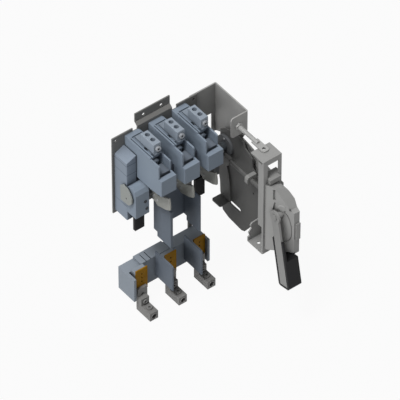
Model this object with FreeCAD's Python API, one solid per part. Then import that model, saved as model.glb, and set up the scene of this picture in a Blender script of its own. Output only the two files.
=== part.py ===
import FreeCAD, Part
import math
import os

os.makedirs("parts", exist_ok=True)
V = FreeCAD.Vector

# Frame: X to the right, Y to the back, Z up, in millimetres. The origin is the middle of the mounting
# hole pattern, on the face that lies on the panel. Depths below are distances in front of that face,
# so a depth d is at Y = -d.

# Sheet metal
SHEET = 2.5
PLATE_W, PLATE_H = 184.0, 178.0
PLATE_BACK = 6.5
TAB_W, TAB_H = 75.0, 23.0
TAB_HOLE_PITCH, TAB_HOLE_RISE, TAB_HOLE_R = 38.0, 12.0, 3.2
NOTCH_W, NOTCH_D = 10.0, 8.0
CORNER_HOLE_IN, CORNER_HOLE_R = 8.0, 2.5

# Row of poles
POLE_X, POLE_PITCH, POLE_W, WALL = -65.0, 50.8, 32.0, 3.0
ROW_RIGHT = POLE_X + 2 * POLE_PITCH + POLE_W

# Side bracket and mechanism
MECH_X = ROW_RIGHT + 57.4
BRACKET_RIGHT, BRACKET_DEPTH = MECH_X + 10.0, 95.0
BRACKET_LAP = 14.0
FLANGE_W, FLANGE_H = 37.0, 46.0
PANEL_H, PANEL_STEM_W = 67.0, 10.0
SPACER_R = 5.0

# Handle frame
PIVOT_D, PIVOT_Z, PIVOT_R = 217.0, -51.0, 6.0
FRAME_LEFT, FRAME_FRONT = MECH_X - 33.0, PIVOT_D - 26.0
FRAME_TOP, FRAME_BOTTOM = 62.0, -160.0
FRAME_TOP_D, FRAME_BOTTOM_D = 34.0, 42.0
ARM_TOP = -12.0
WINDOW_X, WINDOW_W, WINDOW_Z, WINDOW_H = FRAME_LEFT + 10.0, 24.0, 8.0, 42.0

# Brace rod and drive rod
ROD_X, BRACE_Z, BRACE_R, BRACE_CLEAR = MECH_X - 11.0, 64.0, 4.0, 0.3
DRIVE_Z, DRIVE_R = -38.0, 4.0
RUNNING = 0.06
DRIVE_TRAVEL, GUIDE_D = 47.0, FRAME_FRONT - 67.0

# Poles
POLE_TOP, POLE_BASE, POLE_REAR = 80.0, 10.0, 9.0
LEFT_WALL_D, RIGHT_WALL_D, RIGHT_WALL_DROP = 104.0, 97.0, 7.0
BOX_FRONT, BOX_TOP, BOX_BOTTOM = 112.0, 50.0, 14.6
SPINE_H = 2.5
BLOCK_D = 50.0
SLOT_W = 12.0
BLADE_OFF = 19.0
LUG_W, LUG_H, LUG_REAR, LUG_D = 15.5, 21.0, 39.0, 37.0
LUG_HOLE_R, LUG_HOLE_1, LUG_HOLE_PITCH = 4.6, 9.5, 15.0
STRAP_T = 3.0
SCREW_R, SOCKET_R = 5.2, 2.4
CHUTE_PLATES, CHUTE_PITCH, CHUTE_T, CHUTE_D, CHUTE_TOP = 5, 4.0, 1.5, 80.0, 52.0

# Rotor
ROTOR_D, ROTOR_Z, ROTOR_R = 48.0, -22.0, 8.0
ROTOR_LEFT, ROTOR_RIGHT = -90.0, MECH_X + SHEET + 2.0
BLADE_T, BLADE_W, BLADE_R, BLADE_DOWN = 3.0, 15.0, 64.0, 12.0
BLADE_EDGE = (30.0, 24.0, 18.0, 12.0, 6.0)
FLANGE_R, FLANGE_T = 20.0, 5.0
HUB_R, HUB_W = 13.0, 9.0
ROTOR_TURN = 80.0
CRANK_X, CRANK_T, CRANK_LOW, PIN_DROP, PIN_R, PIN_PLAY = MECH_X - 22.0, 4.0, 42.0, 28.0, 3.0, 2.2

# Handle
COVER_FRONT, COVER_RIGHT = PIVOT_D + 22.0, MECH_X + 10.0
LEVER_X, LEVER_T, LEVER_W, LEVER_L, LEVER_LEAN = MECH_X - 28.0, 4.0, 19.0, 148.0, 11.0
GRIP_W, GRIP_R0, GRIP_BORDER_R0, GRIP_L, GRIP_T = 29.0, 91.5, 50.0, 153.0, 28.0

# Fuse block
FUSE_X, FUSE_W, FUSE_TOP, FUSE_H, FUSE_D = -80.8, 167.2, -229.0, 53.0, 45.5
FUSE_PITCH, FUSE_BACK_T = 63.7, 23.5
CLIP_X, CLIP_W, CLIP_H, CLIP_T, CLIP_RISE = -71.0, 25.0, 52.0, 2.5, 10.0
SEAT_D = 42.5
FB_T, FB_D, FB_RISE = 3.0, 73.5, 17.0
LOAD_W, LOAD_D, LOAD_H, LOAD_TAB_H, LOAD_TAB_T = 17.5, 39.5, 18.0, 30.0, 5.0

# Barrier round the middle pole
BAR_HALF, BAR_REAR, BAR_FRONT, BAR_TOP, BAR_BOTTOM, BAR_T = 33.0, 47.0, 95.0, -60.0, -143.0, 2.0
BASE_BOTTOM, BASE_D = -60.0, 30.0
END_W, END_D, END_BOTTOM, END_TOP = 20.3, 43.0, -82.0, 53.0

nodes = {}


def box(x, w, d, t, z, h):
    """A block from x, depth d and z: w wide, t deep towards the front and h high."""
    return Part.makeBox(w, t, h, V(x, -d - t, z))


def rod_x(x, length, d, z, r):
    return Part.makeCylinder(r, length, V(x, -d, z), V(1, 0, 0))


def rod_y(x, d, length, z, r):
    return Part.makeCylinder(r, length, V(x, -d, z), V(0, -1, 0))


def rod_z(x, d, z, height, r):
    return Part.makeCylinder(r, height, V(x, -d, z), V(0, 0, 1))


def prism(centre, way, r, sides=12):
    """A many-sided peg from a centre along the vector way, for screw heads and small holes."""
    across = V(way.z, way.x, way.y).normalize()
    other = way.cross(across).normalize()
    turn = 2 * math.pi / sides
    ring = [centre + across * (r * math.cos(k * turn)) + other * (r * math.sin(k * turn)) for k in range(sides)]
    return Part.Face(Part.makePolygon(ring + ring[:1])).extrude(way)


def side_profile(x, w, points):
    """A plate w thick at x, from its outline of (depth, z) points."""
    wire = Part.makePolygon([V(x, -d, z) for d, z in points + points[:1]])
    return Part.Face(wire).extrude(V(w, 0, 0))


def front_profile(d, t, points):
    """A block t deep at depth d, from its outline of (x, z) points."""
    wire = Part.makePolygon([V(x, -d, z) for x, z in points + points[:1]])
    return Part.Face(wire).extrude(V(0, -t, 0))


def fillet_along(shape, direction, at, radius):
    """Rounds the straight edges that run along a direction through the places (x, depth, z) given."""
    picked = []
    for edge in shape.Edges:
        a, b = edge.Vertexes[0].Point, edge.Vertexes[-1].Point
        if (b - a).Length < 1e-6 or abs((b - a).normalize().dot(direction)) < 0.999:
            continue
        mid = (a + b) * 0.5
        for x, d, z in at:
            gap = mid - V(x, -d, z)
            if (gap - direction * gap.dot(direction)).Length < 0.2:
                picked.append(edge)
    return shape.makeFillet(radius, picked)


def mounting_plate():
    half_w, half_h = PLATE_W / 2, PLATE_H / 2
    plate = box(-half_w, PLATE_W, PLATE_BACK, SHEET, -half_h, PLATE_H)
    front = PLATE_BACK + SHEET
    jog = 5.0
    for way in (1, -1):
        side = [(front, half_h - NOTCH_D), (front, half_h), (SHEET, half_h + jog), (SHEET, half_h + TAB_H),
                (0, half_h + TAB_H), (0, half_h + jog - 1), (PLATE_BACK, half_h - 1),
                (PLATE_BACK, half_h - NOTCH_D)]
        plate = plate.fuse(side_profile(-TAB_W / 2, TAB_W, [(d, way * z) for d, z in side]))
        for left in (-TAB_W / 2 - NOTCH_W, TAB_W / 2):
            low = half_h - NOTCH_D if way > 0 else -half_h
            plate = plate.cut(box(left, NOTCH_W, PLATE_BACK, SHEET, low, NOTCH_D))
        for across in (1, -1):
            hole_z = way * (half_h + TAB_HOLE_RISE)
            plate = plate.cut(rod_y(across * TAB_HOLE_PITCH / 2, 0, SHEET, hole_z, TAB_HOLE_R))
            corner_z = way * (half_h - CORNER_HOLE_IN)
            corner_x = across * (half_w - CORNER_HOLE_IN)
            plate = plate.cut(prism(V(corner_x, -PLATE_BACK, corner_z), V(0, -SHEET, 0), CORNER_HOLE_R))
    return plate.removeSplitter()


def side_bracket():
    top = PLATE_H / 2 - 1
    rear = PLATE_BACK - SHEET
    left = PLATE_W / 2 - BRACKET_LAP
    web_x = BRACKET_RIGHT - SHEET
    stem = BRACKET_RIGHT - PANEL_STEM_W
    panel_low = top - PANEL_H
    web_low = panel_low - 47
    panel = front_profile(rear, SHEET, [(left, top), (BRACKET_RIGHT, top), (BRACKET_RIGHT, web_low),
                                        (stem, web_low), (stem, panel_low), (left, panel_low)])
    flange_low = top - FLANGE_H
    web = side_profile(web_x, SHEET, [(rear, top), (BRACKET_DEPTH, top), (BRACKET_DEPTH, flange_low),
                                      (80, 10), (42, -7), (rear, web_low)])
    flange = box(BRACKET_RIGHT - FLANGE_W, FLANGE_W, BRACKET_DEPTH - SHEET, SHEET, flange_low, FLANGE_H)
    corners = [(BRACKET_RIGHT - FLANGE_W, 0, top), (BRACKET_RIGHT - FLANGE_W, 0, flange_low)]
    flange = fillet_along(flange, V(0, 1, 0), corners, 6.0)
    bracket = panel.fuse(web).fuse(flange).removeSplitter()
    bends = [(BRACKET_RIGHT, BRACKET_DEPTH, 0), (BRACKET_RIGHT, rear, 0)]
    bracket = fillet_along(bracket, V(0, 0, 1), bends, SHEET)
    hole = rod_y(ROD_X, BRACKET_DEPTH - SHEET, SHEET, BRACE_Z, BRACE_R + BRACE_CLEAR)
    return bracket.cut(hole)


def side_arm():
    """Plate outside the bracket web that carries the handle frame."""
    rear, front = BRACKET_DEPTH - 35, FRAME_FRONT
    outline = [(rear, -5), (rear, 12), (rear + 41, 6), (front - 29, ARM_TOP + 2), (front, ARM_TOP),
               (front, FRAME_BOTTOM), (front - FRAME_BOTTOM_D, FRAME_BOTTOM), (front - 58, -135),
               (front - 81, -60)]
    return side_profile(BRACKET_RIGHT, SHEET, outline)


def mechanism_plate():
    front = FRAME_FRONT - 51
    outline = [(31, 2), (45, 12), (66, 22), (80, 22), (94, 18), (99, 6), (front - 32, 2), (front - 21, -4),
               (front - 19, -25), (front - 12, -31), (front - 4, -39), (front, -63), (front, -128),
               (118, -170), (100, -196), (91, -200), (55, -197), (38, -190), (31, -150), (27, -60)]
    plate = side_profile(MECH_X, SHEET, outline)
    slot_low, slot_high, slot_z, slot_r = 62.0, 84.0, -155.0, 4.5
    for d in (slot_low, slot_high):
        plate = plate.cut(rod_x(MECH_X, SHEET, d, slot_z, slot_r))
    plate = plate.cut(box(MECH_X, SHEET, slot_low, slot_high - slot_low, slot_z - slot_r, 2 * slot_r))
    plate = plate.cut(rod_x(MECH_X, SHEET, ROTOR_D, ROTOR_Z, ROTOR_R + 0.5))
    return plate.cut(rod_x(MECH_X, SHEET, GUIDE_D, -84.0, 2.2))


def mechanism_spacers():
    near = MECH_X + SHEET
    web_gap = BRACKET_RIGHT - SHEET - near
    arm_gap = BRACKET_RIGHT - near
    places = ((66, 9, web_gap), (112, -20, arm_gap), (124, -66, arm_gap))
    return Part.makeCompound([prism(V(near, -d, z), V(gap, 0, 0), SPACER_R, 16) for d, z, gap in places])


def foot_bracket():
    """Column on the inner face of the mechanism plate, with a foot turned to the left."""
    thick, foot_w, foot_d = 3.0, 20.0, 25.0
    x = MECH_X - thick
    outline = [(28, -93), (31, -70), (50, -60), (60, -100), (63, -150), (58, -158), (36, -155), (34, -120)]
    column = side_profile(x, thick, outline)
    foot = box(x - foot_w, foot_w, 35.0, foot_d, -155.0, thick)
    tip = [(x - foot_w, 35.0, 0), (x - foot_w, 35.0 + foot_d, 0)]
    return column.fuse(fillet_along(foot, V(0, 0, 1), tip, 4.0)).removeSplitter()


def brace_rod():
    end = FRAME_FRONT - FRAME_TOP_D
    flat_z = FRAME_TOP
    rod = rod_y(ROD_X, BRACKET_DEPTH - 12, end - BRACKET_DEPTH + 4, BRACE_Z, BRACE_R)
    tongue = box(ROD_X - 7, 14, end - 18, 34, flat_z, SHEET)
    tongue = fillet_along(tongue, V(0, 0, 1), [(ROD_X - 7, end + 16, 0), (ROD_X + 7, end + 16, 0)], 5.0)
    tongue = tongue.cut(rod_z(ROD_X, end + 8, flat_z, SHEET, 3.0))
    return rod.fuse(tongue).removeSplitter()


def brace_nuts():
    nut_t, nut_r = 4.0, 7.0
    nuts = []
    for d in (BRACKET_DEPTH - SHEET - nut_t, BRACKET_DEPTH):
        nut = prism(V(ROD_X, -d, BRACE_Z), V(0, -nut_t, 0), nut_r, 6)
        nuts.append(nut.cut(rod_y(ROD_X, d, nut_t, BRACE_Z, BRACE_R + RUNNING)))
    return Part.makeCompound(nuts)


def handle_frame():
    width = BRACKET_RIGHT - FRAME_LEFT
    back = FRAME_FRONT - SHEET
    height = FRAME_TOP - FRAME_BOTTOM
    frame = box(FRAME_LEFT, width, back, SHEET, FRAME_BOTTOM, height)
    frame = frame.cut(box(BRACKET_RIGHT - SHEET, SHEET, back, SHEET, ARM_TOP, FRAME_TOP - ARM_TOP))
    frame = frame.fuse(box(FRAME_LEFT, SHEET, FRAME_FRONT - 13, 13, -95, 151))
    right = side_profile(BRACKET_RIGHT - SHEET, SHEET, [
        (FRAME_FRONT - 20, ARM_TOP), (FRAME_FRONT, ARM_TOP), (FRAME_FRONT, FRAME_BOTTOM),
        (FRAME_FRONT - FRAME_BOTTOM_D, FRAME_BOTTOM), (FRAME_FRONT - 53, -110), (FRAME_FRONT - 26, -90)])
    frame = frame.fuse(right)
    frame = frame.fuse(box(FRAME_LEFT, width - SHEET, FRAME_FRONT - FRAME_TOP_D, FRAME_TOP_D, FRAME_TOP - SHEET,
                           SHEET))
    rear = FRAME_FRONT - FRAME_BOTTOM_D
    floor = box(FRAME_LEFT, width, rear, FRAME_BOTTOM_D, FRAME_BOTTOM, SHEET)
    floor = floor.cut(rod_z(FRAME_LEFT + 12, FRAME_FRONT - 25, FRAME_BOTTOM, SHEET, 3.2))
    upright = front_profile(rear, SHEET, [
        (FRAME_LEFT, FRAME_BOTTOM), (FRAME_LEFT, -149), (FRAME_LEFT + 4, -147), (FRAME_LEFT + 1, -139),
        (FRAME_LEFT + 8, -131), (FRAME_LEFT + 5, -124), (FRAME_LEFT + 9, -119), (BRACKET_RIGHT, -117),
        (BRACKET_RIGHT, FRAME_BOTTOM)])
    frame = frame.fuse(floor).fuse(upright).removeSplitter()
    frame = fillet_along(frame, V(0, 0, 1), [(FRAME_LEFT, FRAME_FRONT, 0)], 2.0)
    frame = frame.cut(box(WINDOW_X, WINDOW_W, back, SHEET, WINDOW_Z, WINDOW_H))
    frame = frame.cut(rod_z(ROD_X, FRAME_FRONT - FRAME_TOP_D + 8, FRAME_TOP - SHEET, SHEET, 3.0))
    return frame.cut(rod_y(ROD_X, back, SHEET, DRIVE_Z, DRIVE_R + 4))


def door_catch():
    """Sliding catch behind the window, guided on the frame's front sheet."""
    gap = 0.3
    block = box(WINDOW_X - 6, WINDOW_W + 12, FRAME_FRONT - SHEET - 12 - gap, 12, WINDOW_Z - 8, 18)
    nose = box(WINDOW_X + gap, WINDOW_W - 2 * gap, FRAME_FRONT - SHEET - gap, 10, WINDOW_Z + gap, 10 - gap)
    return block.fuse(nose).removeSplitter()


def pole(n):
    x = POLE_X + n * POLE_PITCH
    centre = x + BLADE_OFF
    rear, top, low = POLE_REAR, POLE_TOP, POLE_BASE
    block = box(x, POLE_W, rear, BLOCK_D - rear, low, top - low)
    left = side_profile(x, WALL, [(rear, low), (rear, top), (LEFT_WALL_D, top), (LEFT_WALL_D, BOX_TOP),
                                  (BOX_FRONT, BOX_TOP), (BOX_FRONT, BOX_BOTTOM), (80, low)])
    right_top = top - RIGHT_WALL_DROP
    right = side_profile(x + POLE_W - WALL, WALL, [
        (rear, low), (rear, right_top), (RIGHT_WALL_D, right_top), (RIGHT_WALL_D, BOX_TOP),
        (BOX_FRONT, BOX_TOP), (BOX_FRONT, BOX_BOTTOM), (80, low)])
    front = box(x, POLE_W, BOX_FRONT - WALL, WALL, BOX_BOTTOM, BOX_TOP - BOX_BOTTOM)
    ledge = box(x, POLE_W, BOX_FRONT - 10, 10, BOX_TOP - WALL, WALL)
    rib = box(x, POLE_W - WALL, 60, 10, 66, top - 66)
    spine = box(x, 7.0, rear, LEFT_WALL_D - 24 - rear, top, SPINE_H)
    rear_step = box(x, POLE_W - WALL, rear, 10, top, SPINE_H)
    body = block.fuse([left, right, front, ledge, rib, spine, rear_step]).removeSplitter()
    slot = box(centre - SLOT_W / 2, SLOT_W, 30, BLOCK_D - 30, low, 50)
    channel = box(x + WALL, 1.6, rear + 12, LEFT_WALL_D - 36 - rear, top - 1, SPINE_H + 1)
    body = body.cut(slot).cut(channel)
    return fillet_along(body, V(1, 0, 0), [(0, LEFT_WALL_D, top), (0, RIGHT_WALL_D, right_top)], 3.0)


def line_contact(n):
    """Strap under the lug with a stem down to a pair of jaw leaves."""
    centre = POLE_X + n * POLE_PITCH + BLADE_OFF
    strap = box(centre - 7, 14, 22, 56, POLE_TOP, STRAP_T)
    stem = box(centre - 5, 10, 52, 8, 58, POLE_TOP - 58)
    bridge = box(centre - 5, 10, 52, 22, 58, 3)
    contact = strap.fuse(stem).fuse(bridge)
    play = 0.3
    for left in (centre - BLADE_T / 2 - play - 2, centre + BLADE_T / 2 + play):
        contact = contact.fuse(box(left, 2, 56, 17, 24, 34))
    return contact.removeSplitter()


def line_lug(n):
    x = POLE_X + n * POLE_PITCH + BLADE_OFF - LUG_W / 2
    low = POLE_TOP + STRAP_T
    lug = box(x, LUG_W, LUG_REAR, LUG_D, low, LUG_H)
    lug = lug.makeChamfer(0.8, [e for e in lug.Edges if e.BoundBox.ZMin > low + LUG_H - 0.1])
    for d in (LUG_REAR + LUG_HOLE_1, LUG_REAR + LUG_HOLE_1 + LUG_HOLE_PITCH):
        lug = lug.cut(rod_z(x + LUG_W / 2, d, low + 3, LUG_H, LUG_HOLE_R))
    return lug


def socket_screw(x, d, z, r, length):
    screw = prism(V(x, -d, z), V(0, -length, 0), r, 24)
    return screw.cut(prism(V(x, -d - length, z), V(0, length - 1, 0), SOCKET_R, 6))


def line_screws():
    front = LUG_REAR + LUG_D
    z = POLE_TOP + STRAP_T + LUG_H / 2
    centres = [POLE_X + n * POLE_PITCH + BLADE_OFF for n in range(3)]
    return Part.makeCompound([socket_screw(x, front, z, SCREW_R, 4.0) for x in centres])


def arc_chute(n):
    """Steel splitter plates on a bridge, each notched so that the blade passes."""
    x = POLE_X + n * POLE_PITCH
    left, width = x + WALL, POLE_W - 2 * WALL
    top, low = CHUTE_TOP, CHUTE_TOP - 34
    plates = box(left, width, CHUTE_D - 4, 1.5 + 4 + CHUTE_PITCH * (CHUTE_PLATES - 1), top - 2, 2)
    notch_w, notch_top = 8.0, top - 12
    centre = x + BLADE_OFF
    for k in range(CHUTE_PLATES):
        d = CHUTE_D + k * CHUTE_PITCH
        outline = [(left, top), (left, low), (centre - notch_w, low), (centre - notch_w / 2, notch_top),
                   (centre + notch_w / 2, notch_top), (centre + notch_w, low), (left + width, low),
                   (left + width, top)]
        plates = plates.fuse(front_profile(d - CHUTE_T / 2, CHUTE_T, outline))
    return plates.removeSplitter()


def switch_base():
    """Moulded carrier under the poles, between the end housings."""
    left = POLE_X - 2
    right = ROW_RIGHT + 14
    base = box(left, right - left, POLE_REAR, BASE_D - POLE_REAR, BASE_BOTTOM, POLE_BASE - BASE_BOTTOM)
    for n in range(2):
        gap_x = POLE_X + n * POLE_PITCH + POLE_W
        bridge = box(gap_x, POLE_PITCH - POLE_W, POLE_REAR, 71, POLE_BASE, 30)
        bridge = bridge.cut(rod_z(gap_x + 9, 70, POLE_BASE + 15, 15, 2.2))
        base = base.fuse(bridge)
    return base.removeSplitter()


def left_end_cover():
    x = POLE_X - 2 - END_W
    outline = [(x, END_BOTTOM), (x, END_TOP), (x + END_W, END_TOP + 9.5), (x + END_W, END_BOTTOM)]
    cover = front_profile(POLE_REAR, END_D - POLE_REAR, outline)
    cover = fillet_along(cover, V(0, 0, 1), [(x, END_D, 0)], 1.5)
    return cover.cut(rod_x(x, END_W, ROTOR_D, ROTOR_Z, ROTOR_R + 1))


def bearing_housing(x, width):
    """Rotor end housing with a rounded top and the rotor's bearing bore."""
    rear, front, top, low = END_D, ROTOR_D + ROTOR_R + 12, 5.0, BASE_BOTTOM
    if x > 0:
        rear = POLE_REAR
    outline = [(rear, low), (rear, top - 5), (rear + 6, top), (front - 10, top), (front - 4, top - 4),
               (front, top - 12), (front, low)]
    bore = rod_x(x, width, ROTOR_D, ROTOR_Z, ROTOR_R + RUNNING)
    return side_profile(x, width, outline).cut(bore)


def right_bearing():
    """Right end housing, and the flanged bearing on the mechanism plate that steadies the shaft's end."""
    housing = bearing_housing(ROW_RIGHT + 14, 12.0)
    flange = rod_x(MECH_X - FLANGE_T, FLANGE_T, ROTOR_D, ROTOR_Z, FLANGE_R)
    flange = flange.cut(rod_x(MECH_X - FLANGE_T, FLANGE_T, ROTOR_D, ROTOR_Z, ROTOR_R + RUNNING))
    return Part.makeCompound([housing, flange])


def insulators():
    """Black plates that hang from the base, each on a tab under it."""
    plates = []
    width, thick, tab_t = 20.0, 6.0, 3.0
    for x in (POLE_X - 15, POLE_X + 117):
        tab_x = max(x, POLE_X - 2)
        plate = box(x, width, 50, thick, BASE_BOTTOM - 43, 43)
        tab = box(tab_x, x + width - tab_x, POLE_REAR, 50 - POLE_REAR, BASE_BOTTOM - tab_t, tab_t)
        plates.append(plate.fuse(tab).removeSplitter())
    return Part.makeCompound(plates)


def rotor_shaft():
    shaft = rod_x(ROTOR_LEFT, ROTOR_RIGHT - ROTOR_LEFT, ROTOR_D, ROTOR_Z, ROTOR_R)
    for n in range(3):
        centre = POLE_X + n * POLE_PITCH + BLADE_OFF
        hub = rod_x(centre - HUB_W / 2, HUB_W, ROTOR_D, ROTOR_Z, HUB_R)
        shaft = shaft.fuse(hub)
        shaft = shaft.cut(box(centre - BLADE_T / 2, BLADE_T, ROTOR_D + 3, HUB_R, ROTOR_Z - HUB_R, 2 * HUB_R))
    return shaft.removeSplitter()


def blade(n):
    """Flat hatchet-shaped knife blade in the hub's slot, with a round front edge."""
    centre = POLE_X + n * POLE_PITCH + BLADE_OFF
    half, root = BLADE_W / 2, 3.0
    outline = [(root, -half), (root, half), (BLADE_R * 0.5, 1.6 * half)]
    for angle in BLADE_EDGE:
        way = math.radians(angle)
        outline.append((BLADE_R * math.cos(way), BLADE_R * math.sin(way)))
    outline += [(BLADE_R * 0.86, -0.2 * half), (BLADE_R * 0.52, -1.9 * half)]
    plate = side_profile(centre - BLADE_T / 2, BLADE_T, outline)
    plate.rotate(V(0, 0, 0), V(1, 0, 0), BLADE_DOWN)
    plate.translate(V(0, -ROTOR_D, ROTOR_Z))
    shaft_half = box(centre - BLADE_T / 2, BLADE_T, ROTOR_D - HUB_R, HUB_R + 3, ROTOR_Z - HUB_R, 2 * HUB_R)
    return plate.cut(shaft_half)


def end_sector():
    """Position sector on the left end of the rotor."""
    thick = 2.5
    outline = [(31, -2), (38, 4), (50, 2), (58, -4), (63, -14), (63, -24), (55, -34), (32, -36)]
    plate = side_profile(ROTOR_LEFT - thick, thick, outline)
    return plate.cut(rod_x(ROTOR_LEFT - thick, thick, ROTOR_D, ROTOR_Z, 2.0))


def rotor_crank():
    """Slotted crank on the right end of the rotor: the drive pin works in its slot."""
    half = 9.0
    crank = rod_x(CRANK_X, CRANK_T, ROTOR_D, ROTOR_Z, ROTOR_R + 5)
    crank = crank.fuse(box(CRANK_X, CRANK_T, ROTOR_D - half, 2 * half, ROTOR_Z - CRANK_LOW, CRANK_LOW))
    slot_r = PIN_R + PIN_PLAY
    slot_low, slot_high = -CRANK_LOW + 1.0, -PIN_DROP + 5.0
    crank = crank.cut(box(CRANK_X, CRANK_T, ROTOR_D - slot_r, 2 * slot_r, ROTOR_Z + slot_low,
                          slot_high - slot_low))
    crank = crank.cut(rod_x(CRANK_X, CRANK_T, ROTOR_D, ROTOR_Z, ROTOR_R))
    crank.rotate(V(0, -ROTOR_D, ROTOR_Z), V(1, 0, 0), ROTOR_TURN / 2)
    return crank


def drive_rod():
    """Rod from the handle to the crank, with a plate and cross pin at its rear end."""
    pin_d = ROTOR_D - PIN_DROP * math.tan(math.radians(ROTOR_TURN / 2))
    pin_z = ROTOR_Z - PIN_DROP
    plate_x = CRANK_X + CRANK_T + 3
    plate_end = GUIDE_D - DRIVE_TRAVEL - 3
    outline = [(pin_d - 8, pin_z - 7), (pin_d - 8, pin_z + 7), (plate_end - 16, DRIVE_Z + 5),
               (plate_end, DRIVE_Z + 5), (plate_end, DRIVE_Z - 5), (plate_end - 10, pin_z - 7)]
    plate = side_profile(plate_x, ROD_X + DRIVE_R - plate_x, outline)
    pin = rod_x(CRANK_X - 1, plate_x - CRANK_X + 1, pin_d, pin_z, PIN_R)
    rod = rod_y(ROD_X, plate_end - 4, FRAME_FRONT - 19 - plate_end, DRIVE_Z, DRIVE_R)
    return plate.fuse(pin).fuse(rod).removeSplitter()


def rod_guide():
    near = ROD_X - 9
    guide = box(near, MECH_X - near, GUIDE_D, 8, DRIVE_Z - 9, 18)
    guide = fillet_along(guide, V(0, 1, 0), [(near, 0, DRIVE_Z - 9), (near, 0, DRIVE_Z + 9)], 6.0)
    return guide.cut(rod_y(ROD_X, GUIDE_D, 8, DRIVE_Z, DRIVE_R + RUNNING))


def handle_cover():
    """Tapered housing over the opening: a wide foot, a sloped left face and a narrow rounded nose."""
    foot, left, right, nose = FRAME_FRONT, FRAME_LEFT + 5, COVER_RIGHT, COVER_FRONT
    top, low, nose_low, rim = 8.0, -147.0, -137.0, 4.0
    nose_x = right - 12
    shell = front_profile(foot, nose - foot, [(left, low), (left, top), (left + 22, 2), (left + 32, -6),
                                              (right, -22), (right, low)])
    seen_from_side = [(foot, low), (foot, top), (foot + 17, top), (foot + 31, -17), (foot + 41, -37),
                      (nose, -42), (nose, nose_low), (foot + rim, low)]
    shell = shell.common(side_profile(left, right - left, seen_from_side))
    seen_from_top = [(left, foot), (right, foot), (right, nose), (nose_x, nose), (left, foot + rim)]
    wire = Part.makePolygon([V(x, -d, low) for x, d in seen_from_top + seen_from_top[:1]])
    shell = shell.common(Part.Face(wire).extrude(V(0, 0, top - low)))
    ridge = box(nose_x + 3, 9, nose, 3, -106, 38)
    lobe = box(nose_x + 3, 9, nose - 17, 17, nose_low - 6, 10)
    lobe = fillet_along(lobe, V(1, 0, 0), [(0, nose, nose_low - 6), (0, nose - 17, nose_low - 6)], 4.0)
    shell = shell.fuse([ridge, lobe]).removeSplitter()
    pocket = 9.5
    shell = shell.cut(box(left, pocket, foot + 14, 5, -21, 24))
    slant = [(foot + 16, -27), (foot + 21, -27), (foot + 18, -48), (foot + 13, -48)]
    shell = shell.cut(side_profile(left, pocket, slant))
    shell = shell.cut(rod_y(ROD_X, foot, 34, DRIVE_Z, DRIVE_R + 2))
    return shell.cut(rod_x(left, right - left, PIVOT_D, PIVOT_Z, PIVOT_R + RUNNING))


def handle_shaft():
    return rod_x(LEVER_X - 1.5, COVER_RIGHT - LEVER_X + 1.5, PIVOT_D, PIVOT_Z, PIVOT_R)


def lever_place(shape):
    """Turns a lever drawn hanging straight down from the pivot to its leaning rest place."""
    shape.rotate(V(0, -PIVOT_D, PIVOT_Z), V(1, 0, 0), -LEVER_LEAN)
    return shape


def handle_lever():
    arm = box(LEVER_X, LEVER_T, PIVOT_D - LEVER_W / 2, LEVER_W, PIVOT_Z - LEVER_L, LEVER_L)
    hub = rod_x(LEVER_X, LEVER_T, PIVOT_D, PIVOT_Z, LEVER_W / 2 + 3)
    lever = arm.fuse(hub).cut(rod_x(LEVER_X, LEVER_T, PIVOT_D, PIVOT_Z, PIVOT_R))
    return lever_place(lever.removeSplitter())


def handle_grip():
    border = (GRIP_W - LEVER_W) / 2
    rear = PIVOT_D - GRIP_W / 2
    upper = box(LEVER_X, LEVER_T, rear, GRIP_W, PIVOT_Z - GRIP_R0, GRIP_R0 - GRIP_BORDER_R0)
    block = box(LEVER_X, GRIP_T, rear, GRIP_W, PIVOT_Z - GRIP_L, GRIP_L - GRIP_R0)
    block = fillet_along(block, V(1, 0, 0), [(0, rear, PIVOT_Z - GRIP_L), (0, rear + GRIP_W, PIVOT_Z - GRIP_L)],
                         border)
    grip = block.fuse(upper)
    inlay = box(LEVER_X, LEVER_T, rear + border, LEVER_W, PIVOT_Z - LEVER_L, LEVER_L)
    return lever_place(grip.cut(inlay).removeSplitter())


def phase_barrier():
    left, right = -BAR_HALF, BAR_HALF
    step_d, step_z = BAR_REAR + 10, BAR_BOTTOM + 11
    outline = [(BAR_REAR, BAR_TOP), (BAR_FRONT, BAR_TOP + 4), (BAR_FRONT, BAR_BOTTOM), (step_d, BAR_BOTTOM),
               (step_d, step_z), (BAR_REAR, step_z)]
    barrier = side_profile(left, BAR_T, outline).fuse(side_profile(right - BAR_T, BAR_T, outline))
    barrier = barrier.fuse(box(left, right - left, BAR_REAR, BAR_T, step_z, BAR_TOP - step_z))
    barrier = barrier.fuse(box(left, right - left, POLE_REAR, BAR_REAR + BAR_T - POLE_REAR, BAR_TOP - BAR_T,
                               BAR_T))
    lip = 5.0
    barrier = barrier.fuse(box(left, lip, BAR_FRONT - BAR_T, BAR_T, BAR_BOTTOM, BAR_TOP + 3 - BAR_BOTTOM))
    return barrier.removeSplitter()


def rear_strap():
    """Strip behind the mounting plate that carries the fuse base below it."""
    rear = PLATE_BACK - SHEET
    return box(74, 8, rear, SHEET, FUSE_TOP - FUSE_H + 6, -FUSE_TOP + FUSE_H - 66)


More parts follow.
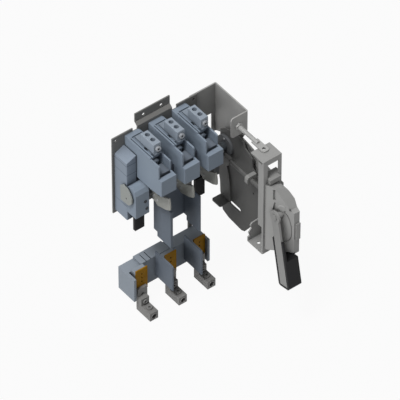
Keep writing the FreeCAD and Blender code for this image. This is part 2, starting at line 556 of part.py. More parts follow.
def fuse_base():
    low = FUSE_TOP - FUSE_H
    back = PLATE_BACK
    base = box(FUSE_X, FUSE_W, back, FUSE_BACK_T, low, FUSE_H)
    base = base.fuse(box(FUSE_X + 32, 62, back, FUSE_BACK_T, FUSE_TOP, 5))
    end_t = 4.8
    for x in (FUSE_X, FUSE_X + FUSE_W - end_t):
        base = base.fuse(box(x, end_t, back, FUSE_D, low, FUSE_H))
    for n in range(3):
        seat_x = CLIP_X + n * FUSE_PITCH
        seat_d = back + FUSE_BACK_T
        width = min(CLIP_W, FUSE_X + FUSE_W - seat_x)
        base = base.fuse(box(seat_x, width, seat_d, SEAT_D - seat_d, low + 4, FUSE_H))
    groove = 1.6
    for x in (-38.0, -28.0):
        base = base.cut(box(x, groove, back + 4, FUSE_BACK_T - 4, FUSE_TOP + 2, 3))
    return base.removeSplitter()


def fuse_barriers():
    low = FUSE_TOP - FUSE_H + 11
    top = FUSE_TOP + FB_RISE
    rear = PLATE_BACK + FUSE_BACK_T
    pair = []
    for x in (CLIP_X + 53, CLIP_X + 53 + FUSE_PITCH):
        panel = box(x, FB_T, rear, FB_D - FUSE_BACK_T, low, top - low)
        pair.append(fillet_along(panel, V(1, 0, 0), [(0, rear + FB_D - FUSE_BACK_T, top)], 5.0))
    return Part.makeCompound(pair)


def clip_plate(n):
    """Brass terminal plate with three small holes and one cut corner."""
    x = CLIP_X + n * FUSE_PITCH
    top = FUSE_TOP + CLIP_RISE
    low = top - CLIP_H
    plate = front_profile(SEAT_D, CLIP_T, [(x, top), (x + CLIP_W, top), (x + CLIP_W, low), (x + 8, low),
                                           (x, low + 12)])
    for k in range(3):
        plate = plate.cut(prism(V(x + CLIP_W / 2, -SEAT_D, top - 12 - 9 * k), V(0, -CLIP_T, 0), 1.6))
    return plate


def load_lug(n):
    x = CLIP_X - 2 + n * FUSE_PITCH
    rear = SEAT_D + CLIP_T
    low = FUSE_TOP - 82
    tab_top = low + LOAD_H + LOAD_TAB_H
    tab = box(x + 2, LOAD_W + 3, rear, LOAD_TAB_T, low + LOAD_H, LOAD_TAB_H + 3)
    tab = tab.cut(rod_y(x + 2 + (LOAD_W + 3) / 2, rear, LOAD_TAB_T, tab_top - 12, 3.2))
    block = box(x + 2, LOAD_W, rear, LOAD_D, low, LOAD_H)
    rise = box(x + 2, LOAD_W, rear, 14, low + LOAD_H, 8)
    lug = tab.fuse(block).fuse(rise).removeSplitter()
    wire = rod_y(x + 2 + LOAD_W / 2, rear + 12, LOAD_D, low + LOAD_H / 2, 5.0)
    return lug.cut(wire)


def load_screws():
    low = FUSE_TOP - 82
    centres = [CLIP_X + n * FUSE_PITCH + LOAD_W / 2 for n in range(3)]
    depth = SEAT_D + CLIP_T + 26
    screws = []
    for x in centres:
        screw = prism(V(x, -depth, low + LOAD_H), V(0, 0, 3), SCREW_R, 24)
        screws.append(screw.cut(prism(V(x, -depth, low + LOAD_H + 1), V(0, 0, 2), SOCKET_R, 6)))
    return Part.makeCompound(screws)


def plate_screws():
    """Pan-head screws that hold the side bracket's lap to the mounting plate."""
    front = PLATE_BACK + SHEET
    x = PLATE_W / 2 - BRACKET_LAP / 2
    return Part.makeCompound([prism(V(x, -front, z), V(0, -2, 0), 3.5, 24) for z in (60.0, 32.0)])


nodes["mounting_plate"] = mounting_plate()
nodes["side_bracket"] = side_bracket()
nodes["side_arm"] = side_arm()
nodes["mechanism_plate"] = mechanism_plate()
nodes["mechanism_spacers"] = mechanism_spacers()
nodes["foot_bracket"] = foot_bracket()
nodes["brace_rod"] = brace_rod()
nodes["brace_nuts"] = brace_nuts()
nodes["handle_frame"] = handle_frame()
nodes["door_catch"] = door_catch()
nodes["switch_base"] = switch_base()
nodes["left_end_cover"] = left_end_cover()
nodes["left_bearing_housing"] = bearing_housing(POLE_X - 2 - END_W, 29.0)
nodes["right_bearing_housing"] = right_bearing()
nodes["insulators"] = insulators()
nodes["line_screws"] = line_screws()
nodes["rotor_shaft"] = rotor_shaft()
nodes["end_sector"] = end_sector()
nodes["rotor_crank"] = rotor_crank()
nodes["drive_rod"] = drive_rod()
nodes["rod_guide"] = rod_guide()
nodes["handle_cover"] = handle_cover()
nodes["handle_shaft"] = handle_shaft()
nodes["handle_lever"] = handle_lever()
nodes["handle_grip"] = handle_grip()
nodes["phase_barrier"] = phase_barrier()
nodes["rear_strap"] = rear_strap()
nodes["fuse_base"] = fuse_base()
nodes["fuse_barriers"] = fuse_barriers()
nodes["load_screws"] = load_screws()
nodes["plate_screws"] = plate_screws()
for n in range(3):
    nodes[f"pole_{n + 1}"] = pole(n)
    nodes[f"line_contact_{n + 1}"] = line_contact(n)
    nodes[f"line_lug_{n + 1}"] = line_lug(n)
    nodes[f"arc_chute_{n + 1}"] = arc_chute(n)
    nodes[f"blade_{n + 1}"] = blade(n)
    nodes[f"clip_plate_{n + 1}"] = clip_plate(n)
    nodes[f"load_lug_{n + 1}"] = load_lug(n)

for name, shape in nodes.items():
    shape.exportStep(f"parts/{name}.step")
    print(name, len(shape.Solids), shape.isValid(), round(shape.Volume))
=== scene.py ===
import bpy
import math
from mathutils import Matrix, Vector


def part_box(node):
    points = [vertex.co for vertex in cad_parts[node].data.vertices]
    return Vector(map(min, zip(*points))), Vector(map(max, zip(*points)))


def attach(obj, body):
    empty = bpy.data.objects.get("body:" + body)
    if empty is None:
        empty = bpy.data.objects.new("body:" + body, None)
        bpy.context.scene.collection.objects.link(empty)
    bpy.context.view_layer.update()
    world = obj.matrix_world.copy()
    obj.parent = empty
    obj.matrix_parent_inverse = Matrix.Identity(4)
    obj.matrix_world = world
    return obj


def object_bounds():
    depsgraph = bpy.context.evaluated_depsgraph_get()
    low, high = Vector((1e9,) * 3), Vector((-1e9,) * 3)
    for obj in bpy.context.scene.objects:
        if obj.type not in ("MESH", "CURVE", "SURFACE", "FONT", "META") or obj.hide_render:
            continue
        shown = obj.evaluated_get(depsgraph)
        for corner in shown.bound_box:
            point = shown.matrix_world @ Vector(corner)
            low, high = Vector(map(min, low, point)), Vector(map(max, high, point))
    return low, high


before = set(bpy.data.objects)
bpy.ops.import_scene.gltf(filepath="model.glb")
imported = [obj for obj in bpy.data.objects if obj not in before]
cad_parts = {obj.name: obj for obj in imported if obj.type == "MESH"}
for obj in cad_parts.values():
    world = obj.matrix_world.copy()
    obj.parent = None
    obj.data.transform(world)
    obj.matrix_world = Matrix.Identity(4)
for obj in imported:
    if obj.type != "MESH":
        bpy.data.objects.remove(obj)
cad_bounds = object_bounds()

# The camera is a long lens far to the left front and high up, which keeps parallel edges parallel. It looks
# down at 45 degrees, and its aim puts the switch where the picture has it.
AZIMUTH, ELEVATION = math.radians(-37.9), math.radians(45.0)
PIXELS, PIXELS_PER_METRE = 400, 580.0
ORIGIN_AT = (151.9, 150.8)
LENS, SENSOR = 500.0, 36.0
DISTANCE = PIXELS / PIXELS_PER_METRE * LENS / SENSOR
toward = Vector((math.cos(ELEVATION) * math.sin(AZIMUTH), -math.cos(ELEVATION) * math.cos(AZIMUTH),
                 math.sin(ELEVATION)))
side = Vector((math.cos(AZIMUTH), math.sin(AZIMUTH), 0))
lift = toward.cross(side)
middle = (side * (PIXELS / 2 - ORIGIN_AT[0]) - lift * (PIXELS / 2 - ORIGIN_AT[1])) / PIXELS_PER_METRE
lens = bpy.data.cameras.new("long_lens")
lens.lens, lens.sensor_width = LENS, SENSOR
lens.clip_start, lens.clip_end = 0.5, 60.0
camera = bpy.data.objects.new("camera", lens)
bpy.context.collection.objects.link(camera)
camera.matrix_world = Matrix.Translation(middle + toward * DISTANCE) @ Matrix(
    (side, lift, toward)).transposed().to_4x4()
bpy.context.scene.camera = camera


# The mounting plate is pressed from steel sheet with a jogged tab at its top and bottom. It has a dark satin
# paint, a little uneven, in a fine orange peel, and painted shade darkens its corners. The shader maths
# starts here.
class Wire:
    """A socket of a node tree that takes part in sums."""

    def __init__(self, tree, socket=None):
        self.tree, self.socket = tree, socket

    def node(self, kind, settings, values):
        """Adds a node with these settings, and wires or sets each named input."""
        made = self.tree.nodes.new(kind)
        for name, value in settings.items():
            setattr(made, name, value)
        for key, value in values.items():
            if isinstance(value, Wire):
                self.tree.links.new(value.socket, made.inputs[key])
            else:
                made.inputs[key].default_value = value
        return made

    def out(self, kind, settings, values, which=0):
        """The same, as the socket that comes out."""
        return Wire(self.tree, self.node(kind, settings, values).outputs[which])

    def maths(self, operation, first, second):
        return self.out("ShaderNodeMath", {"operation": operation}, {0: first, 1: second})

    def __add__(self, other):
        return self.maths("ADD", self, other)

    def __mul__(self, other):
        return self.maths("MULTIPLY", self, other)

    def __sub__(self, other):
        return self.maths("SUBTRACT", self, other)

    def __rsub__(self, other):
        return self.maths("SUBTRACT", other, self)

    def __truediv__(self, other):
        return self.maths("DIVIDE", self, other)

    __radd__, __rmul__ = __add__, __mul__

    def between(self, low, high):
        """0 below low, 1 above high, and straight between."""
        return self.out("ShaderNodeMapRange", {"clamp": True}, {0: self, 1: low, 2: high, 3: 0.0, 4: 1.0})

    def noise(self, scale, detail=3.0, stretch=(1, 1, 1)):
        """Smooth noise at this place, drawn out along the axes with a small stretch."""
        where = self.out("ShaderNodeMapping", {}, {"Vector": self, "Scale": stretch})
        return self.out("ShaderNodeTexNoise", {}, {"Vector": where, "Scale": scale, "Detail": detail})

    def over(self, lower, upper):
        """The upper colour laid over the lower one, by this much."""
        return self.out("ShaderNodeMix", {"data_type": "RGBA"}, {0: self, 6: lower, 7: upper}, 2)


def finish(name, colour, rough, metal=0.0, mottle=0.10, grain=900.0, bump=0.06, drawn=(1, 1, 1), patch=14.0,
           corner=0.5, corner_size=0.006, gloss=0.5, seams=()):
    """One finish: slow patches of tone, a fine grain, painted shade in corners and hollows, and any seam
    lines at heights.
    """
    made = bpy.data.materials.new(name)
    made.use_nodes = True
    tree = made.node_tree
    shader = tree.nodes["Principled BSDF"]
    at = Wire(tree, tree.nodes.new("ShaderNodeTexCoord").outputs["Object"])
    patches = at.noise(patch)
    fine = at.noise(grain, 2.0, drawn)
    low = [c * (1 - mottle) for c in colour] + [1]
    high = [min(1, c * (1 + mottle)) for c in colour] + [1]
    tone = (patches * 0.7 + fine * 0.3).between(0.3, 0.7).over(low, high)
    # The deep colour is painted shade in corners and hollows, where ambient occlusion finds them, and also
    # the colour of the seam lines.
    deep = [c * corner * 0.8 for c in colour] + [1]
    open_sky = at.out("ShaderNodeAmbientOcclusion", {"samples": 6}, {"Distance": corner_size}, 1)
    painted_corner_shade = (1 - open_sky.between(0.15, 0.85)) * (patches * 0.5 + 0.65)
    tone = painted_corner_shade.over(tone, deep)
    height = fine
    if seams:
        along = at.out("ShaderNodeSeparateXYZ", {}, {0: at}, 2)
        for seam in seams:
            line = 1 - at.maths("ABSOLUTE", along - seam, 0.0).between(0.0003, 0.0008)
            tone = (line * 0.75).over(tone, deep)
            height = height - line * 4.0
    tree.links.new(tone.socket, shader.inputs["Base Color"])
    tree.links.new((rough + (fine - 0.5) * 0.18 + (patches - 0.5) * 0.12).socket, shader.inputs["Roughness"])
    shader.inputs["Metallic"].default_value = metal
    shader.inputs["Specular IOR Level"].default_value = gloss
    relief = at.out("ShaderNodeBump", {}, {"Height": height, "Strength": bump, "Distance": 0.0004})
    tree.links.new(relief.socket, shader.inputs["Normal"])
    return made


def dress(material, *names):
    """Puts a material on solids of the frame."""
    for name in names:
        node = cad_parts[name]
        node.data.materials.clear()
        node.data.materials.append(material)


dark_paint = finish("dark_sheet_paint", (0.170, 0.168, 0.162), 0.5, mottle=0.14, patch=9.0, gloss=0.3)
dress(dark_paint, "mounting_plate", "rear_strap")

# The side bracket is one bent sheet: a panel lapped on the mounting plate, a web that runs forward and a
# flange that holds the brace rod. Its grey paint is lighter, and two pan-head screws fix the lap.
# Its painted corner shade reaches far, darkening the panel in the corner behind the web.
bracket_paint = finish("bracket_paint", (0.37, 0.368, 0.36), 0.45, mottle=0.06, patch=8.0, corner=0.3,
                       corner_size=0.05, gloss=0.3)
dress(bracket_paint, "side_bracket")
screw_plate = finish("screw_plate", (0.36, 0.37, 0.38), 0.35, metal=0.4, drawn=(1, 0.3, 1))
dress(screw_plate, "plate_screws")

# The mechanism plate and its foot stand beside the poles and carry the rotor's end and the drive rod. The
# plate's near-black colour is painted shade, the shadow the switch body casts on it, and the foot has a dark
# grey paint. The side arm outside them, the rod's guide and the catch have a lighter paint.
plate_painted_shadow = finish("mechanism_painted_shadow", (0.092, 0.092, 0.090), 0.5, mottle=0.10, patch=11.0, gloss=0.25)
dress(plate_painted_shadow, "mechanism_plate", "mechanism_spacers")
foot_paint = finish("foot_paint", (0.15, 0.15, 0.147), 0.5, mottle=0.08, patch=11.0, gloss=0.25)
dress(foot_paint, "foot_bracket")
arm_paint = finish("side_arm_paint", (0.26, 0.26, 0.254), 0.48, mottle=0.08, gloss=0.3)
dress(arm_paint, "side_arm", "rod_guide", "door_catch")

# The handle frame is a zinc-plated channel that bolts to the enclosure's flange. The brace rod and its nuts
# have the same dull, pale plating, with fine drawing lines. The drive rod and its crank are coloured
# near-black as painted shade, for the shadow they lie in.
# A wide reach of painted corner shade darkens the frame beside the cover.
zinc = finish("zinc_plate", (0.335, 0.335, 0.329), 0.5, metal=0.08, mottle=0.08, corner=0.2,
              corner_size=0.030, gloss=0.3)
dress(zinc, "handle_frame")
rod_zinc = finish("drawn_zinc", (0.40, 0.40, 0.392), 0.42, metal=0.15, mottle=0.12, drawn=(1, 0.08, 1),
                  gloss=0.4)
dress(rod_zinc, "brace_rod", "brace_nuts")
rod_darkened_as_shade = finish("rod_darkened_as_shade", (0.13, 0.13, 0.127), 0.45, metal=0.2, mottle=0.15, drawn=(1, 0.08, 1),
                  gloss=0.3)
dress(rod_darkened_as_shade, "drive_rod", "rotor_crank")


# The brace rod's rear end is threaded for its two nuts. Each turn of the thread is a sharp ring on the rod,
# so the rings repeat at the thread's pitch.
def grow(name, sizes, shape, material, body):
    """Makes a piece from a tree of Geometry Nodes with named sizes, as one plain mesh on its body."""
    kinds = {int: "NodeSocketInt", float: "NodeSocketFloat", tuple: "NodeSocketVector"}
    tree = bpy.data.node_groups.new(name + "_tree", "GeometryNodeTree")
    made = {label: tree.interface.new_socket(name=label, in_out="INPUT", socket_type=kinds[type(value)])
            for label, value in sizes.items()}
    tree.interface.new_socket(name="Geometry", in_out="OUTPUT", socket_type="NodeSocketGeometry")
    given = tree.nodes.new("NodeGroupInput")
    start = Wire(tree)
    form = shape(start, {label: Wire(tree, given.outputs[label]) for label in sizes})
    form = start.out("GeometryNodeRealizeInstances", {}, {0: form})
    form = start.out("GeometryNodeSetMaterial", {}, {0: form, "Material": material})
    tree.links.new(form.socket, tree.nodes.new("NodeGroupOutput").inputs[0])
    piece = bpy.data.objects.new(name, bpy.data.meshes.new(name + "_seed"))
    bpy.context.collection.objects.link(piece)
    modifier = piece.modifiers.new(name, "NODES")
    modifier.node_group = tree
    for label, value in sizes.items():
        modifier[made[label].identifier] = value
    graph = bpy.context.evaluated_depsgraph_get()
    mesh = bpy.data.meshes.new_from_object(piece.evaluated_get(graph), depsgraph=graph)
    mesh.name = name
    piece.modifiers.remove(modifier)
    piece.data = mesh
    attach(piece, body)
    return piece


def vector(start, x, y, z):
    """Three numbers as one vector."""
    return start.out("ShaderNodeCombineXYZ", {}, {0: x, 1: y, 2: z})


def rings(start, size):
    """A row of double cones along the rod, one for each turn."""
    cones = []
    for lower, upper in (("Root radius", "Crest radius"), ("Crest radius", "Root radius")):
        cone = start.out("GeometryNodeMeshCone", {"fill_type": "NGON"}, {
            "Vertices": 24, "Radius Bottom": size[lower], "Radius Top": size[upper],
            "Depth": size["Pitch"] * 0.5})
        up = vector(start, 0.0, 0.0, size["Pitch"] * (0.0 if lower == "Root radius" else 0.5))
        cones.append(start.out("GeometryNodeTransform", {}, {0: cone, "Translation": up}))
    both = start.node("GeometryNodeJoinGeometry", {}, {})
    for cone in cones:
        start.tree.links.new(cone.socket, both.inputs[0])
    turn = Wire(start.tree, both.outputs[0])
    turn = start.out("GeometryNodeTransform", {}, {0: turn, "Rotation": (math.pi / 2, 0, 0)})
    row = start.out("GeometryNodeMeshLine", {}, {
        "Count": size["Turns"], "Start Location": size["Start"],
        "Offset": vector(start, 0.0, size["Pitch"] * -1.0, 0.0)})
    return start.out("GeometryNodeInstanceOnPoints", {}, {"Points": row, "Instance": turn})


brace_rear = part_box("brace_rod")[1][1]
nut_low, nut_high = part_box("brace_nuts")
rod_x = (nut_low[0] + nut_high[0]) / 2
rod_z = (nut_low[2] + nut_high[2]) / 2
THREAD = {"Pitch": 0.0011, "Root radius": 0.0039, "Crest radius": 0.0044}
for place, turns in ((brace_rear - 0.0005, 4), (nut_low[1] - 0.0001, 12)):
    grow("brace_thread_front" if turns > 4 else "brace_thread_rear",
         {"Turns": turns, "Start": (rod_x, place, rod_z), **THREAD}, rings, rod_zinc, "root")

# The end housings, base, barrier and poles are moulded in a blue-grey thermoset: matt, finely textured and
# cloudy from its filler. The end cover has the seams of its stacked parts, and screws close the housing.
moulding = finish("blue_grey_moulding", (0.231, 0.279, 0.340), 0.6, mottle=0.05, grain=1400.0, patch=22.0,
                  corner=0.4, corner_size=0.007, gloss=0.3)
dress(moulding, "pole_1", "pole_2", "pole_3", "left_bearing_housing")
COVER_SEAMS = (0.0467, 0.0247, -0.049)
# Its painted corner shade reaches far, darkening its front beside the first pole.
seamed = finish("stacked_moulding", (0.242, 0.286, 0.348), 0.6, mottle=0.05, grain=1400.0, patch=22.0,
                corner=0.25, corner_size=0.035, gloss=0.3, seams=COVER_SEAMS)
dress(seamed, "left_end_cover")
base_moulding = finish("base_moulding", (0.085, 0.102, 0.128), 0.6, mottle=0.08, grain=1400.0, corner=0.3,
                       corner_size=0.015, gloss=0.25)
dress(base_moulding, "switch_base")
# The barrier's moulding is made darker than the poles' as painted shade, for the shade it stands in under the
# poles.
barrier_painted_shade = finish("barrier_moulding_painted_shade", (0.124, 0.148, 0.182), 0.6, mottle=0.06, grain=1400.0, patch=18.0,
                       corner=0.5, corner_size=0.006, gloss=0.25)
dress(barrier_painted_shade, "phase_barrier")
HOUSING_SCREWS = {"Count": 2, "Step": (0.0033, 0.0, -0.0181), "Radius": 0.0021, "Wall": 0.0018,
                  "Stand": 0.0012}
FIRST_SCREW_X, FIRST_SCREW_Z = -0.0669, -0.0288
SEAT = 0.0004


def at_each(start, size, form):
    """A form at each place of a straight row."""
    row = start.out("GeometryNodeMeshLine", {}, {"Count": size["Count"], "Start Location": size["First"],
                                                 "Offset": size["Step"]})
    return start.out("GeometryNodeInstanceOnPoints", {}, {"Points": row, "Instance": form})


def ring_row(start, size):
    """A short round boss with a bore, facing forward, at each place of a row."""
    middle = start.out("GeometryNodeCurvePrimitiveCircle", {}, {"Resolution": 32, "Radius": size["Radius"]})
    wall = start.out("GeometryNodeCurvePrimitiveQuadrilateral", {}, {
        "Width": size["Wall"], "Height": size["Stand"]})
    ring = start.out("GeometryNodeCurveToMesh", {}, {0: middle, "Profile Curve": wall})
    ring = start.out("GeometryNodeTransform", {}, {0: ring, "Rotation": (math.pi / 2, 0, 0)})
    return at_each(start, size, ring)


housing_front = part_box("left_bearing_housing")[0][1]
dull_steel = finish("dull_steel", (0.05, 0.055, 0.06), 0.5, metal=0.2, gloss=0.3)
grow("housing_screws", {**HOUSING_SCREWS, "First": (FIRST_SCREW_X, housing_front - SEAT, FIRST_SCREW_Z)},
     ring_row, dull_steel, "root")

# A flanged bearing in a darker moulding steadies the rotor's right end on the mechanism plate. Four hexagon
# screws hold it, on a circle round the shaft.
BEARING_T = 0.005
BEARING_SCREWS = {"Screws": 4, "Circle": 0.0155, "Head": 0.0024, "Height": 0.0016}


def screw_circle(start, size):
    """Hexagon heads on a circle, facing left."""
    head = start.out("GeometryNodeMeshCone", {"fill_type": "NGON"}, {
        "Vertices": 6, "Radius Bottom": size["Head"], "Radius Top": size["Head"] * 0.86,
        "Depth": size["Height"]})
    head = start.out("GeometryNodeTransform", {}, {0: head, "Rotation": (0, -math.pi / 2, 0)})
    circle = start.out("GeometryNodeMeshCircle", {}, {"Vertices": size["Screws"], "Radius": size["Circle"]})
    circle = start.out("GeometryNodeTransform", {}, {
        0: circle, "Rotation": (math.radians(45), math.pi / 2, 0), "Translation": size["Centre"]})
    return start.out("GeometryNodeInstanceOnPoints", {}, {"Points": circle, "Instance": head})


bearing_grey = finish("bearing_grey", (0.125, 0.132, 0.140), 0.55, mottle=0.08, grain=1400.0, gloss=0.3)
dress(bearing_grey, "right_bearing_housing")
shaft_low, shaft_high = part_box("rotor_shaft")
axis_y = (shaft_low[1] + shaft_high[1]) / 2
axis_z = (shaft_low[2] + shaft_high[2]) / 2
bearing_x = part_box("mechanism_plate")[0][0] - BEARING_T
grow("bearing_screws", {**BEARING_SCREWS, "Centre": (bearing_x, axis_y, axis_z)}, screw_circle, screw_plate,
     "root")

# Aluminium lugs take the line wires from above: each is a sawn and deburred block with a socket set screw in
# its front, on a tin-plated strap. The plates of the arc chutes stand behind the front boxes.
lug_metal = finish("lug_aluminium", (0.292, 0.338, 0.396), 0.48, metal=0.05, mottle=0.06, drawn=(1, 1, 0.1),
                   corner=0.2, corner_size=0.004, gloss=0.3)
dress(lug_metal, "line_lug_1", "line_lug_2", "line_lug_3")
lug_screw = finish("lug_screw", (0.44, 0.46, 0.49), 0.33, metal=0.4, corner=0.25)
dress(lug_screw, "line_screws")
tin = finish("tin_plate", (0.235, 0.275, 0.325), 0.48, metal=0.05, drawn=(1, 0.1, 1), corner=0.3, gloss=0.3)
dress(tin, "line_contact_1", "line_contact_2", "line_contact_3")
chute_steel = finish("chute_steel", (0.155, 0.180, 0.215), 0.5, metal=0.1, mottle=0.2, corner=0.3, gloss=0.3)
dress(chute_steel, "arc_chute_1", "arc_chute_2", "arc_chute_3")

# The rotor turns hatchet-shaped blades of tin-plated copper on a dark grey moulded shaft. A pair of rivets
# holds each blade in its hub. The sector on the shaft's left end is off-white, and the insulators are black.
black = finish("black_moulding", (0.010, 0.010, 0.011), 0.55, mottle=0.2, bump=0.12, grain=700.0, gloss=0.12)
dress(black, "insulators")
rotor_grey = finish("rotor_moulding", (0.075, 0.085, 0.095), 0.55, mottle=0.1, grain=1400.0, gloss=0.25)
dress(rotor_grey, "rotor_shaft")
blade_tin = finish("blade_tin", (0.33, 0.335, 0.31), 0.42, metal=0.15, mottle=0.12, drawn=(1, 0.1, 1))
dress(blade_tin, "blade_1", "blade_2", "blade_3")
ivory = finish("off_white_sector", (0.305, 0.322, 0.308), 0.55, mottle=0.04, gloss=0.3)
dress(ivory, "end_sector")
BLADE_RIVET = {"Blades": 3, "Pole pitch": 0.0508, "Radius": 0.0026, "Stand": 0.0012, "Blade": 0.0030}


def rivet_row(start, size):
    """Flat domes on both faces of every blade."""
    dome = start.out("GeometryNodeMeshUVSphere", {}, {"Segments": 16, "Rings": 8, "Radius": size["Radius"]})
    squash = vector(start, size["Stand"] / size["Radius"], 1.0, 1.0)
    dome = start.out("GeometryNodeTransform", {}, {0: dome, "Scale": squash})
    dome = start.out("GeometryNodeSetShadeSmooth", {}, {0: dome})
    pair = start.out("GeometryNodeMeshLine", {}, {"Count": 2, "Start Location": size["First"],
                                                  "Offset": vector(start, size["Blade"], 0.0, 0.0)})
    two = start.out("GeometryNodeInstanceOnPoints", {}, {"Points": pair, "Instance": dome})
    row = start.out("GeometryNodeMeshLine", {}, {"Count": size["Blades"], "Start Location": (0, 0, 0),
                                                 "Offset": vector(start, size["Pole pitch"], 0.0, 0.0)})
    return start.out("GeometryNodeInstanceOnPoints", {}, {"Points": row, "Instance": two})


blade_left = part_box("blade_1")[0][0]
for label, reach, drop in (("inner", 0.019, 0.004), ("outer", 0.028, 0.009)):
    grow("blade_rivets_" + label, {**BLADE_RIVET, "First": (blade_left, axis_y - reach, axis_z - drop)},
         rivet_row, screw_plate, "rotor")

# The handle cover is a drawn steel shell in a smooth satin grey. A raised bead runs round the lever's path
# on its sloped face, four small screws hold the works inside, and a flat cap closes the drive rod's bore.
# Its painted corner shade reaches a little further, darkening its pockets and the face round the lever.
cover_paint = finish("cover_grey", (0.345, 0.345, 0.339), 0.48, mottle=0.05, patch=9.0, corner=0.16,
                     corner_size=0.010, gloss=0.3)
dress(cover_paint, "handle_cover")
cover_low, cover_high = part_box("handle_cover")
FOOT_RIM, NOSE_IN, RIDGE_STAND = 0.004, 0.012, 0.003
slope = (cover_high[0] - NOSE_IN - cover_low[0]) / (cover_high[1] - cover_low[1] - FOOT_RIM - RIDGE_STAND)


def on_slope(depth, height):
    """The place on the cover's sloped left face at a depth in front of the panel and a height."""
    return Vector((cover_low[0] + slope * (depth + cover_high[1] - FOOT_RIM), -depth, height))


BEAD = ((0.2232, -0.0434), (0.2285, -0.0500), (0.2318, -0.0600), (0.2345, -0.0740), (0.2352, -0.0870),
        (0.2348, -0.0985), (0.2322, -0.1070), (0.2285, -0.1120), (0.2232, -0.1154))


def bead_along(start, size):
    """A round bead that follows the points of the line it is given."""
    line = None
    for first, second in zip(BEAD, BEAD[1:]):
        run = start.out("GeometryNodeMeshLine", {"mode": "END_POINTS"}, {
            "Count": 5, "Start Location": on_slope(*first), "Offset": on_slope(*second)})
        if line is None:
            line = start.node("GeometryNodeJoinGeometry", {}, {})
        start.tree.links.new(run.socket, line.inputs[0])
    merged = start.out("GeometryNodeMergeByDistance", {}, {0: Wire(start.tree, line.outputs[0]),
                                                           "Distance": 0.0002})
    path = start.out("GeometryNodeMeshToCurve", {}, {0: merged})
    profile = start.out("GeometryNodeCurvePrimitiveCircle", {}, {"Resolution": 12, "Radius": size["Radius"]})
    bead = start.out("GeometryNodeCurveToMesh", {}, {0: path, "Profile Curve": profile, "Fill Caps": True})
    return start.out("GeometryNodeSetShadeSmooth", {}, {0: bead})


bead_paint = finish("bead_paint", (0.15, 0.15, 0.147), 0.5, mottle=0.05, gloss=0.3)
grow("cover_bead", {"Radius": 0.0008}, bead_along, bead_paint, "root")

COVER_SCREWS = ((0.2325, -0.0345), (0.2081, -0.0690), (0.2105, -0.0850), (0.2216, -0.1235))
COVER_SCREW = {"Head": 0.0021, "Height": 0.0011}
COVER_CAP, CAP_AT = {"Head": 0.0078, "Height": 0.0007}, (0.2190, -0.0371)


def flat_head(start, size):
    """A low round head, tilted to lie on the sloped face."""
    head = start.out("GeometryNodeMeshCone", {"fill_type": "NGON"}, {
        "Vertices": 20, "Radius Bottom": size["Head"], "Radius Top": size["Head"] * 0.8,
        "Depth": size["Height"]})
    tilt = (0, 0, math.atan(slope) - math.pi)
    upright = start.out("GeometryNodeTransform", {}, {0: head, "Rotation": (0, math.pi / 2, 0)})
    upright = start.out("GeometryNodeTransform", {}, {0: upright, "Rotation": tilt})
    return start.out("GeometryNodeTransform", {}, {0: upright, "Translation": size["Place"]})


cover_screw_steel = finish("cover_screw_steel", (0.06, 0.06, 0.06), 0.4, metal=0.3)
for number, place in enumerate(COVER_SCREWS, 1):
    grow(f"cover_screw_{number}", {**COVER_SCREW, "Place": tuple(on_slope(*place))}, flat_head,
         cover_screw_steel, "root")
grow("cover_cap", {**COVER_CAP, "Place": tuple(on_slope(*CAP_AT))}, flat_head, cover_paint, "root")

# The lever is a flat steel arm in a similar grey, pressed over the shaft's end and laid into a black moulded
# grip. The grip has a soft sheen and a fine spark texture.
lever_paint = finish("lever_grey", (0.275, 0.275, 0.270), 0.46, mottle=0.05, patch=20.0, gloss=0.3)
dress(lever_paint, "handle_lever", "handle_shaft")
grip_black = finish("grip_black", (0.013, 0.013, 0.014), 0.5, mottle=0.18, bump=0.14, grain=800.0, gloss=0.15)
dress(grip_black, "handle_grip")

# The fuse block stands below on its own moulded base. Two barrier walls part its three ways, and each way has
# a brass terminal plate cut from drawn strip, so the brass has upright lines and darker patches of tarnish.
fuse_moulding = finish("fuse_moulding", (0.254, 0.288, 0.330), 0.6, mottle=0.06, grain=1400.0, patch=18.0,
                       corner=0.35, corner_size=0.012, gloss=0.3)
dress(fuse_moulding, "fuse_base")
wall_moulding = finish("wall_moulding", (0.150, 0.176, 0.214), 0.6, mottle=0.06, grain=1400.0, patch=18.0,
                       corner=0.4, corner_size=0.02, gloss=0.25)
dress(wall_moulding, "fuse_barriers")
brass = finish("terminal_brass", (0.285, 0.140, 0.003), 0.5, metal=0.1, mottle=0.25, drawn=(1, 1, 0.08),
               patch=60.0, gloss=0.08)
dress(brass, "clip_plate_1", "clip_plate_2", "clip_plate_3")

# Stepped load lugs are sawn from cast aluminium bar and left in a warm grey. A round clamping screw shows in
# the front of each lug's middle step, and a short boss stands round its wire hole.
load_metal = finish("load_lug_metal", (0.215, 0.213, 0.208), 0.5, metal=0.05, mottle=0.08, drawn=(0.1, 1, 1),
                    corner=0.35, corner_size=0.005, gloss=0.3)
dress(load_metal, "load_lug_1", "load_lug_2", "load_lug_3", "load_screws")
FUSE_PITCH, BLOCK_W, BLOCK_H, RISE_D, RISE_H = 0.0637, 0.0175, 0.018, 0.014, 0.008
EACH_WAY = {"Count": 3, "Step": (FUSE_PITCH, 0.0, 0.0)}
BOSS = {**EACH_WAY, "Radius": 0.0060, "Wall": 0.0018, "Stand": 0.0012}
CLAMP = {**EACH_WAY, "Radius": 0.0036, "Wall": 0.0034, "Stand": 0.0022}
STEP = {**EACH_WAY, "Block": (BLOCK_W, 0.0090, 0.0075)}


def block_row(start, size):
    """A plain block at each place of a row."""
    return at_each(start, size, start.out("GeometryNodeMeshCube", {}, {"Size": size["Block"]}))


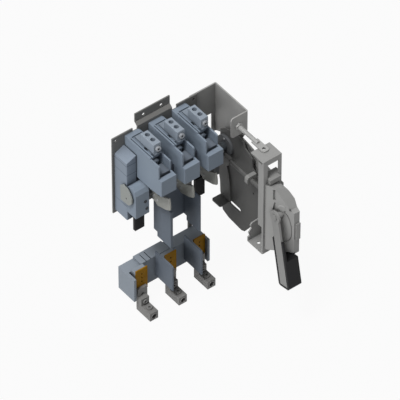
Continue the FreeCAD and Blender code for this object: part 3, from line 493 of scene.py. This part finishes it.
lug_low, lug_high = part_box("load_lug_1")
lug_x = lug_low[0] + BLOCK_W / 2
step_front = lug_high[1] - RISE_D
step_z = lug_low[2] + BLOCK_H + RISE_H
step_middle = (lug_x, step_front + STEP["Block"][1] / 2, step_z + STEP["Block"][2] / 2)
grow("load_lug_bosses", {**BOSS, "First": (lug_x, lug_low[1] - SEAT, lug_low[2] + BLOCK_H / 2)},
     ring_row, load_metal, "root")
grow("load_lug_steps", {**STEP, "First": step_middle}, block_row, load_metal, "root")
grow("load_lug_clamps", {**CLAMP, "First": (lug_x, step_front - 0.0010, step_z - 0.0003)},
     ring_row, load_metal, "root")


# The floor is plain and pale, and stands for nothing of the object. The camera and reflections see it white,
# with the object's faint soft shadow.
def looked_at(start):
    """1 where the camera, a reflection or a clear material looks, and 0 for the light on the object."""
    rays = start.node("ShaderNodeLightPath", {}, {})
    kinds = ("Camera", "Glossy", "Transmission")
    return sum(Wire(start.tree, rays.outputs[f"Is {kind} Ray"]) for kind in kinds).between(0.0, 1.0)


ground = bpy.data.materials.new("pale_floor")
ground.use_nodes = True
ground.node_tree.nodes.clear()
plain = Wire(ground.node_tree)
white = plain.out("ShaderNodeEmission", {}, {"Color": (1.0, 1.0, 1.0, 1)})
matt = plain.out("ShaderNodeBsdfDiffuse", {}, {"Color": (0.4, 0.4, 0.4, 1)})
mixed = plain.out("ShaderNodeMixShader", {}, {0: looked_at(plain) * 0.94, 1: matt, 2: white})
plain.node("ShaderNodeOutputMaterial", {}, {0: mixed})
floor_mesh = bpy.data.meshes.new("floor")
reach, floor_z = 6.0, cad_bounds[0][2] - 0.002
floor_mesh.from_pydata([(-reach, -reach, floor_z), (reach, -reach, floor_z), (reach, reach, floor_z),
                        (-reach, reach, floor_z)], [], [(0, 1, 2, 3)])
floor_mesh.materials.append(ground)
floor = bpy.data.objects.new("floor", floor_mesh)
bpy.context.collection.objects.link(floor)

# Plain light: a soft white surround, and two large lamps high on the left that make the tops brightest and
# leave the fronts in shade.
world = bpy.data.worlds.new("white_surround")
world.use_nodes = True
shown = looked_at(Wire(world.node_tree))
background = world.node_tree.nodes["Background"]
background.inputs["Color"].default_value = (0.97, 0.97, 0.97, 1)
world.node_tree.links.new((shown * 0.76 + 0.24).socket, background.inputs["Strength"])
bpy.context.scene.world = world


def lamp(name, direction, energy, spread):
    data = bpy.data.lights.new(name, "SUN")
    data.energy, data.angle = energy, math.radians(spread)
    made = bpy.data.objects.new(name, data)
    bpy.context.collection.objects.link(made)
    made.matrix_world = Vector(direction).to_track_quat("Z", "Y").to_matrix().to_4x4()


lamp("upper_left", (-0.45, -0.11, 1.0), 2.35, 18)
lamp("left_side", (-1.0, -0.14, 0.25), 0.75, 30)

bpy.context.scene.view_settings.view_transform = "Standard"
